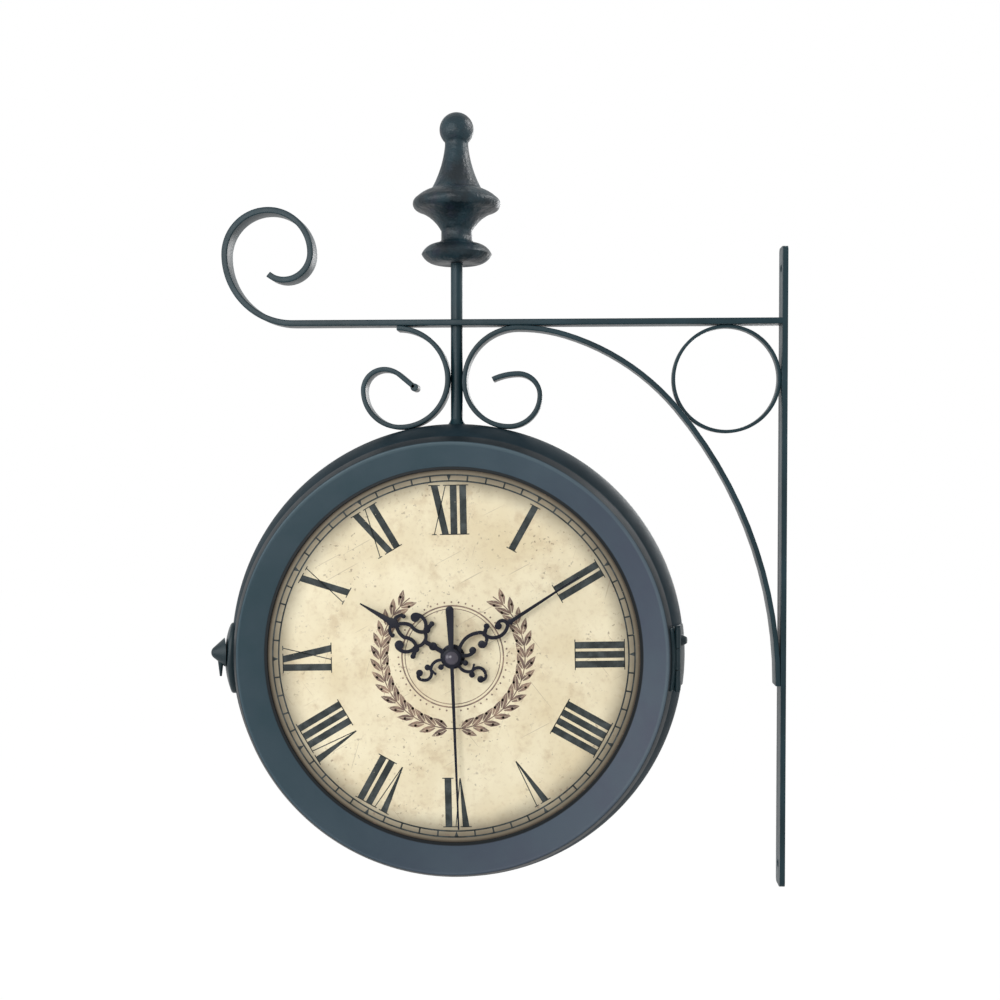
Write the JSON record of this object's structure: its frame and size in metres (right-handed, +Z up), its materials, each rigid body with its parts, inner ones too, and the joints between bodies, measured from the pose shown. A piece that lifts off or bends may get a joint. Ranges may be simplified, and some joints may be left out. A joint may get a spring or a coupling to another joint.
{
  "type": "double-sided wall clock",
  "caption": "Round double-sided clock in a barrel drum, hung from a scrolled wall bracket with a finial; front opens on a hinge.",
  "frame": {"origin": "centre of the wall bar's back face, midway between its two screw holes", "axes": "+X into the wall, +Z up, the pictured front dial faces -Y"},
  "size_m": [0.3799, 0.092, 0.5154],
  "materials": {
    "graphite_paint": "satin",
    "cast_finial": "painted, slightly rough",
    "steel": "plain",
    "dial_print": "matt print",
    "black_plastic": "matt",
    "white_plastic": "matt",
    "rubber": "matt",
    "brass": "bright",
    "cell_jacket": "gloss",
    "copper_winding": "enamelled",
    "hand_black": "satin"
  },
  "bodies": {
    "bracket_and_case": {"wall_bar": "graphite_paint", "top_arm": "graphite_paint", "front_scroll": "graphite_paint", "rear_scroll": "graphite_paint", "corner_ring": "graphite_paint", "hanger_rod": "graphite_paint", "finial": "cast_finial", "rod_saddle": "steel", "rod_nut": "steel", "case_drum": "graphite_paint", "rear_bezel": "graphite_paint", "rear_bezel_screws": "steel", "hinge_case_leaf": "graphite_paint", "hinge_pin": "graphite_paint", "catch_rose": "graphite_paint", "rear_dial": "dial_print", "rear_movement_case": "black_plastic", "rear_movement_cover": "black_plastic", "rear_movement_washer": "rubber", "rear_shaft_nut": "hand_black", "rear_cell": "cell_jacket", "rear_contacts": "steel", "rear_drive_coil": "copper_winding"},
    "front_lid": {"front_bezel": "graphite_paint", "hinge_lid_leaf": "graphite_paint", "lid_keeper": "graphite_paint", "front_dial": "dial_print", "front_movement_case": "black_plastic", "front_movement_cover": "black_plastic", "front_movement_washer": "rubber", "front_shaft_nut": "hand_black", "front_cell": "cell_jacket", "front_contacts": "steel", "front_drive_coil": "copper_winding"},
    "catch": {"catch_knob": "graphite_paint", "catch_cam": "steel"},
    "front_minute": {"front_minute_arbor": "brass", "front_minute_hand": "hand_black"},
    "front_hour": {"front_hour_wheel": "white_plastic", "front_hour_hand": "hand_black"},
    "front_motion": {"front_motion_wheel": "white_plastic", "front_set_knob": "black_plastic"},
    "front_second": {"front_second_arbor": "steel", "front_second_hand": "hand_black"},
    "rear_minute": {"rear_minute_arbor": "brass", "rear_minute_hand": "hand_black"},
    "rear_hour": {"rear_hour_wheel": "white_plastic", "rear_hour_hand": "hand_black"},
    "rear_motion": {"rear_motion_wheel": "white_plastic", "rear_set_knob": "black_plastic"},
    "rear_second": {"rear_second_arbor": "steel", "rear_second_hand": "hand_black"}
  },
  "joints": [
    {"name": "lid_hinge", "type": "hinge", "parent": "bracket_and_case", "child": "front_lid", "pos_m": [-0.0738, -0.0375, -0.056], "axis": [0, 0, 1], "range_deg": [0, 100]},
    {"name": "catch_turn", "type": "hinge", "parent": "bracket_and_case", "child": "catch", "pos_m": [-0.36671, -0.02, -0.056], "axis": [-0.9409, -0.3386, 0], "range_deg": [0, 90]},
    {"name": "front_minute_turn", "type": "hinge", "parent": "front_lid", "child": "front_minute", "pos_m": [-0.2185, 0, -0.056], "axis": [0, 1, 0], "continuous": true},
    {"name": "front_hour_turn", "type": "hinge", "parent": "front_lid", "child": "front_hour", "pos_m": [-0.2185, 0, -0.056], "axis": [0, 1, 0], "continuous": true},
    {"name": "front_motion_turn", "type": "hinge", "parent": "front_lid", "child": "front_motion", "pos_m": [-0.2185, 0, -0.044], "axis": [0, 1, 0], "continuous": true},
    {"name": "front_second_turn", "type": "hinge", "parent": "front_lid", "child": "front_second", "pos_m": [-0.2185, 0, -0.056], "axis": [0, 1, 0], "continuous": true},
    {"name": "rear_minute_turn", "type": "hinge", "parent": "bracket_and_case", "child": "rear_minute", "pos_m": [-0.2185, 0, -0.056], "axis": [0, -1, 0], "continuous": true},
    {"name": "rear_hour_turn", "type": "hinge", "parent": "bracket_and_case", "child": "rear_hour", "pos_m": [-0.2185, 0, -0.056], "axis": [0, -1, 0], "continuous": true},
    {"name": "rear_motion_turn", "type": "hinge", "parent": "bracket_and_case", "child": "rear_motion", "pos_m": [-0.2185, 0, -0.044], "axis": [0, -1, 0], "continuous": true},
    {"name": "rear_second_turn", "type": "hinge", "parent": "bracket_and_case", "child": "rear_second", "pos_m": [-0.2185, 0, -0.056], "axis": [0, -1, 0], "continuous": true}
  ],
  "couplings": [
    {"joint": "front_hour_turn", "follows": "front_minute_turn", "ratio": 0.083333},
    {"joint": "front_motion_turn", "follows": "front_minute_turn", "ratio": -0.33333},
    {"joint": "rear_hour_turn", "follows": "rear_minute_turn", "ratio": 0.083333},
    {"joint": "rear_motion_turn", "follows": "rear_minute_turn", "ratio": -0.33333}
  ]
}
